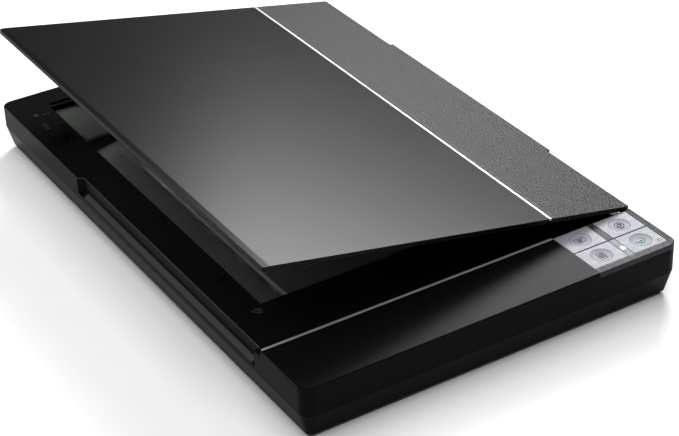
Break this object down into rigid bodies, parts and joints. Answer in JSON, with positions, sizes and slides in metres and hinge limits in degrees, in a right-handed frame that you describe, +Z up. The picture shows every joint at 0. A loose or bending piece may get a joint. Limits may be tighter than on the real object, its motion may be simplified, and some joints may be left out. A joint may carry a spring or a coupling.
{
  "type": "flatbed scanner",
  "caption": "Flat document scanner with a glass bed, a side-hinged lift-up lid, a raised front with push buttons, and a belt-driven scanning carriage inside.",
  "frame": {"origin": "on the table, at the centre of the case's footprint", "axes": "+X to the right towards the lid's hinge side, +Y to the back where the sockets are, +Z up"},
  "size_m": [0.2824, 0.43, 0.0947],
  "materials": {
    "case_black": "fine texture",
    "case_inner_black": "matte",
    "lid_black": "satin",
    "band_black": "grained",
    "bezel_grey": "satin",
    "silver_trim": "satin silver paint",
    "button_silver": "satin silver paint",
    "clear_glass": "polished",
    "mirror_glass": "polished",
    "tape_black": "matte",
    "white_plastic": "matte",
    "cover_grey": "matte",
    "lens_black": "anodised",
    "steel": "ground",
    "zinc_screw": "plated",
    "brass_gear": "machined",
    "nylon_white": "moulded",
    "bronze_bush": "sintered",
    "belt_rubber": "matte",
    "foot_rubber": "matte",
    "board_green": "lacquered",
    "chip_black": "moulded",
    "cable_white": "film",
    "foam_white": "soft foam",
    "window_smoke": "translucent",
    "led_green": "clear"
  },
  "bodies": {
    "case": {"lower_case": "case_black", "upper_case": "case_black", "front_panel": "case_black", "base_trim_strip": "silver_trim", "button_bezel": "bezel_grey", "panel_spacer": "bezel_grey", "status_window": "window_smoke", "status_led": "led_green", "button_board": "board_green", "button_switches": "chip_black", "platen_glass": "clear_glass", "glass_tape": "tape_black", "calibration_strip": "white_plastic", "guide_rod": "steel", "rod_clamps": "nylon_white", "drive_belt": "belt_rubber", "belt_anchor": "case_inner_black", "belt_tensioner": "nylon_white", "tension_spring": "steel", "main_board": "board_green", "board_chips": "chip_black", "usb_port": "steel", "power_jack": "chip_black", "ribbon_cable": "cable_white", "rubber_feet": "foot_rubber", "case_screws": "zinc_screw", "kickstand_pins": "steel", "hinge_sockets": "case_inner_black"},
    "hinge_posts": {"hinge_posts": "case_inner_black"},
    "lid": {"lid_shell": "lid_black", "lid_side_panel": "band_black", "lid_trim_strip": "silver_trim", "lid_inner_panel": "case_inner_black", "document_mat": "foam_white", "hinge_brackets": "case_inner_black", "hinge_pins": "steel", "hinge_screws": "zinc_screw"},
    "carriage": {"carriage_housing": "case_inner_black", "carriage_cover": "cover_grey", "light_guide": "clear_glass", "led_board": "board_green", "mirrors": "mirror_glass", "lens_barrel": "lens_black", "lens_clamp": "steel", "sensor_board": "board_green", "image_sensor": "chip_black", "stepper_motor": "steel", "gear_axle": "steel", "belt_guides": "nylon_white", "slide_bushings": "bronze_bush", "slide_shoe": "nylon_white"},
    "motor_pinion": {"motor_pinion": "brass_gear"},
    "drive_gear": {"drive_gear": "nylon_white"},
    "lock_slider": {"lock_slider": "case_black"},
    "kickstand": {"kickstand": "case_black"},
    "button_rear_left": {"button_rear_left": "button_silver"},
    "button_rear_right": {"button_rear_right": "button_silver"},
    "button_front_left": {"button_front_left": "button_silver"},
    "button_front_right": {"button_front_right": "button_silver"}
  },
  "joints": [
    {"name": "hinge_lift", "type": "slide", "parent": "case", "child": "hinge_posts", "axis": [0, 0, 1], "range_m": [0, 0.015]},
    {"name": "lid_hinge", "type": "hinge", "parent": "hinge_posts", "child": "lid", "pos_m": [0.1365, 0, 0.0374], "axis": [0, 1, 0], "range_deg": [-11.24, 93.76]},
    {"name": "carriage_slide", "type": "slide", "parent": "case", "child": "carriage", "axis": [0, -1, 0], "range_m": [0, 0.313], "deforming": ["ribbon_cable"]},
    {"name": "drive_gear_spin", "type": "hinge", "parent": "carriage", "child": "drive_gear", "pos_m": [-0.0989, 0.165, 0.01], "axis": [0, 0, 1], "range_deg": [-3540, 10]},
    {"name": "motor_pinion_spin", "type": "hinge", "parent": "carriage", "child": "motor_pinion", "pos_m": [-0.0989, 0.1525, 0.01], "axis": [0, 0, 1], "range_deg": [-40, 14160]},
    {"name": "lock_slide", "type": "slide", "parent": "case", "child": "lock_slider", "axis": [1, 0, 0], "range_m": [0, 0.003]},
    {"name": "stand_hinge", "type": "hinge", "parent": "case", "child": "kickstand", "pos_m": [0.1296, 0, 0.0039], "axis": [0, -1, 0], "range_deg": [0, 90]},
    {"name": "button_rear_left_press", "type": "slide", "parent": "case", "child": "button_rear_left", "axis": [0, 0, -1], "range_m": [0, 0.0005], "stiffness_N_per_m": 800, "springref_m": -0.0003},
    {"name": "button_rear_right_press", "type": "slide", "parent": "case", "child": "button_rear_right", "axis": [0, 0, -1], "range_m": [0, 0.0005], "stiffness_N_per_m": 800, "springref_m": -0.0003},
    {"name": "button_front_left_press", "type": "slide", "parent": "case", "child": "button_front_left", "axis": [0, 0, -1], "range_m": [0, 0.0005], "stiffness_N_per_m": 800, "springref_m": -0.0003},
    {"name": "button_front_right_press", "type": "slide", "parent": "case", "child": "button_front_right", "axis": [0, 0, -1], "range_m": [0, 0.0005], "stiffness_N_per_m": 800, "springref_m": -0.0003}
  ],
  "couplings": [
    {"joint": "drive_gear_spin", "follows": "carriage_slide", "rad_per_m": -196.35},
    {"joint": "motor_pinion_spin", "follows": "carriage_slide", "rad_per_m": 785.4}
  ]
}
